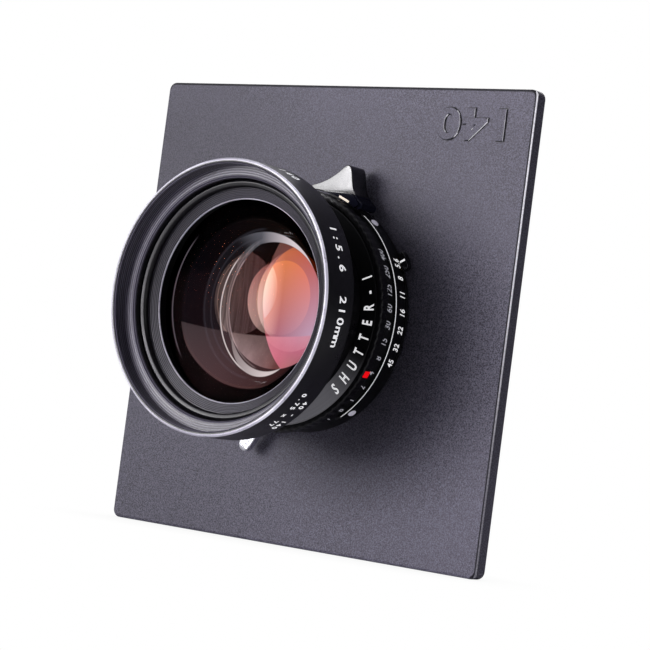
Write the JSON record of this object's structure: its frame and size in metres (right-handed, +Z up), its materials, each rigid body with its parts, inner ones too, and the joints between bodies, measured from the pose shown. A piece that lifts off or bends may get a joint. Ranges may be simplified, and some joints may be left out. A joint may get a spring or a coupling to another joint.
{
  "type": "large format camera lens",
  "caption": "View camera lens with glass cells front and rear of a leaf shutter, mounted on a flat square lens board; levers, dials, blades and retard train move.",
  "frame": {"origin": "middle of the flat bottom edge of the lens board, halfway through the board's thickness", "axes": "+Z up along the board, +X to the right as seen from the front, -Y along the optical axis out of the front of the lens"},
  "size_m": [0.14, 0.076, 0.14],
  "materials": {
    "board_paint": "charcoal paint with a very fine pebbled grain",
    "satin_black": "satin black anodised, turned",
    "gloss_black": "moulded, high gloss",
    "bare_steel": "plain machined steel",
    "polished_silver": "bright plated",
    "brass": "plain turned brass",
    "blade_steel": "blued spring steel, thin",
    "coated_glass": "polished, with an anti-reflection coating that reflects amber, rose and violet",
    "insulator": "plain"
  },
  "bodies": {
    "board_and_housing": {"lens_board": "board_paint", "board_lock_ring": "satin_black", "locating_pin": "brass", "shutter_housing": "satin_black", "aperture_scale_plate": "satin_black", "scale_screw_upper": "satin_black", "scale_screw_lower": "satin_black", "blade_plate": "blade_steel", "mechanism_plate": "bare_steel", "main_spring_post": "bare_steel", "main_spring": "bare_steel", "retard_bridge": "brass", "release_post": "bare_steel", "release_return_spring": "bare_steel", "cover_plate": "satin_black", "name_ring": "satin_black", "cover_screw_1": "bare_steel", "cover_screw_2": "bare_steel", "cover_screw_3": "bare_steel", "cable_release_socket": "polished_silver", "sync_shell": "polished_silver", "sync_insulator": "insulator", "sync_pin": "brass", "front_barrel": "satin_black", "front_retaining_ring": "satin_black", "front_baffle_ring": "satin_black", "front_element_1": "coated_glass", "front_element_2": "coated_glass", "front_spacer": "bare_steel", "front_element_3": "coated_glass", "rear_barrel": "satin_black", "rear_element_4": "coated_glass", "rear_spacer": "satin_black", "rear_element_5": "coated_glass", "rear_element_6": "coated_glass", "rear_retaining_ring": "satin_black"},
    "speed_dial": {"speed_ring": "satin_black"},
    "aperture_control": {"iris_ring": "brass", "aperture_lever": "gloss_black"},
    "press_focus_control": {"sector_ring": "bare_steel", "press_focus_lever": "gloss_black"},
    "cocking_control": {"drive_ring": "bare_steel", "cocking_lever": "gloss_black"},
    "retard_arbor": {"retard_wheel": "brass"},
    "star_arbor": {"star_wheel": "brass"},
    "pallet_arbor": {"pallet": "bare_steel"},
    "release_control": {"release_lever": "polished_silver"},
    "iris_leaf_1": {"iris_blade_1": "blade_steel"},
    "iris_leaf_2": {"iris_blade_2": "blade_steel"},
    "iris_leaf_3": {"iris_blade_3": "blade_steel"},
    "iris_leaf_4": {"iris_blade_4": "blade_steel"},
    "iris_leaf_5": {"iris_blade_5": "blade_steel"},
    "iris_leaf_6": {"iris_blade_6": "blade_steel"},
    "iris_leaf_7": {"iris_blade_7": "blade_steel"},
    "shutter_leaf_1": {"shutter_blade_1": "blade_steel"},
    "shutter_leaf_2": {"shutter_blade_2": "blade_steel"},
    "shutter_leaf_3": {"shutter_blade_3": "blade_steel"},
    "shutter_leaf_4": {"shutter_blade_4": "blade_steel"},
    "shutter_leaf_5": {"shutter_blade_5": "blade_steel"}
  },
  "joints": [
    {"name": "speed_turn", "type": "hinge", "parent": "board_and_housing", "child": "speed_dial", "pos_m": [0, -0.0157, 0.07], "axis": [0, -1, 0], "range_deg": [-32.8, 58.6]},
    {"name": "aperture_turn", "type": "hinge", "parent": "board_and_housing", "child": "aperture_control", "pos_m": [0, -0.0043, 0.07], "axis": [0, -1, 0], "range_deg": [-48, 0]},
    {"name": "cocking_turn", "type": "hinge", "parent": "board_and_housing", "child": "cocking_control", "pos_m": [0, -0.01205, 0.07], "axis": [0, -1, 0], "range_deg": [0, 48]},
    {"name": "press_focus_turn", "type": "hinge", "parent": "board_and_housing", "child": "press_focus_control", "pos_m": [0, -0.0101, 0.07], "axis": [0, -1, 0], "range_deg": [0, 20]},
    {"name": "release_swing", "type": "hinge", "parent": "board_and_housing", "child": "release_control", "pos_m": [-0.0074, -0.01215, 0.04031], "axis": [0, -1, 0], "range_deg": [0, 10]},
    {"name": "pallet_rock", "type": "hinge", "parent": "board_and_housing", "child": "pallet_arbor", "pos_m": [-0.02513, -0.0121, 0.05289], "axis": [0, -1, 0], "range_deg": [-3, 3]},
    {"name": "retard_spin", "type": "hinge", "parent": "board_and_housing", "child": "retard_arbor", "pos_m": [-0.02782, -0.0123, 0.06255], "axis": [0, -1, 0], "range_deg": [-412.81, 0]},
    {"name": "star_spin", "type": "hinge", "parent": "board_and_housing", "child": "star_arbor", "pos_m": [-0.02725, -0.0123, 0.05698], "axis": [0, -1, 0], "range_deg": [0, 1032.01]},
    {"name": "iris_leaf_1_swing", "type": "hinge", "parent": "board_and_housing", "child": "iris_leaf_1", "pos_m": [0.029, -0.00505, 0.07], "axis": [0, -1, 0], "range_deg": [0, 25.61]},
    {"name": "iris_leaf_2_swing", "type": "hinge", "parent": "board_and_housing", "child": "iris_leaf_2", "pos_m": [0.01808, -0.00537, 0.09267], "axis": [0, -1, 0], "range_deg": [0, 25.61]},
    {"name": "iris_leaf_3_swing", "type": "hinge", "parent": "board_and_housing", "child": "iris_leaf_3", "pos_m": [-0.00645, -0.00569, 0.09827], "axis": [0, -1, 0], "range_deg": [0, 25.61]},
    {"name": "iris_leaf_4_swing", "type": "hinge", "parent": "board_and_housing", "child": "iris_leaf_4", "pos_m": [-0.02613, -0.00601, 0.08258], "axis": [0, -1, 0], "range_deg": [0, 25.61]},
    {"name": "iris_leaf_5_swing", "type": "hinge", "parent": "board_and_housing", "child": "iris_leaf_5", "pos_m": [-0.02613, -0.00633, 0.05742], "axis": [0, -1, 0], "range_deg": [0, 25.61]},
    {"name": "iris_leaf_6_swing", "type": "hinge", "parent": "board_and_housing", "child": "iris_leaf_6", "pos_m": [-0.00645, -0.00665, 0.04173], "axis": [0, -1, 0], "range_deg": [0, 25.61]},
    {"name": "iris_leaf_7_swing", "type": "hinge", "parent": "board_and_housing", "child": "iris_leaf_7", "pos_m": [0.01808, -0.00697, 0.04733], "axis": [0, -1, 0], "range_deg": [0, 25.61]},
    {"name": "shutter_leaf_1_swing", "type": "hinge", "parent": "board_and_housing", "child": "shutter_leaf_1", "pos_m": [0.02607, -0.00813, 0.08271], "axis": [0, -1, 0], "range_deg": [-36.01, 0]},
    {"name": "shutter_leaf_2_swing", "type": "hinge", "parent": "board_and_housing", "child": "shutter_leaf_2", "pos_m": [-0.00404, -0.00847, 0.09872], "axis": [0, -1, 0], "range_deg": [-36.01, 0]},
    {"name": "shutter_leaf_3_swing", "type": "hinge", "parent": "board_and_housing", "child": "shutter_leaf_3", "pos_m": [-0.02856, -0.00881, 0.07504], "axis": [0, -1, 0], "range_deg": [-36.01, 0]},
    {"name": "shutter_leaf_4_swing", "type": "hinge", "parent": "board_and_housing", "child": "shutter_leaf_4", "pos_m": [-0.01361, -0.00915, 0.04439], "axis": [0, -1, 0], "range_deg": [-36.01, 0]},
    {"name": "shutter_leaf_5_swing", "type": "hinge", "parent": "board_and_housing", "child": "shutter_leaf_5", "pos_m": [0.02015, -0.00949, 0.04914], "axis": [0, -1, 0], "range_deg": [-36.01, 0]}
  ],
  "couplings": [
    {"joint": "retard_spin", "follows": "cocking_turn", "ratio": -8.6},
    {"joint": "star_spin", "follows": "cocking_turn", "ratio": 21.5},
    {"joint": "iris_leaf_1_swing", "follows": "aperture_turn", "ratio": -0.53333},
    {"joint": "iris_leaf_2_swing", "follows": "aperture_turn", "ratio": -0.53333},
    {"joint": "iris_leaf_3_swing", "follows": "aperture_turn", "ratio": -0.53333},
    {"joint": "iris_leaf_4_swing", "follows": "aperture_turn", "ratio": -0.53333},
    {"joint": "iris_leaf_5_swing", "follows": "aperture_turn", "ratio": -0.53333},
    {"joint": "iris_leaf_6_swing", "follows": "aperture_turn", "ratio": -0.53333},
    {"joint": "iris_leaf_7_swing", "follows": "aperture_turn", "ratio": -0.53333},
    {"joint": "shutter_leaf_1_swing", "follows": "press_focus_turn", "ratio": -1.8},
    {"joint": "shutter_leaf_2_swing", "follows": "press_focus_turn", "ratio": -1.8},
    {"joint": "shutter_leaf_3_swing", "follows": "press_focus_turn", "ratio": -1.8},
    {"joint": "shutter_leaf_4_swing", "follows": "press_focus_turn", "ratio": -1.8},
    {"joint": "shutter_leaf_5_swing", "follows": "press_focus_turn", "ratio": -1.8}
  ]
}
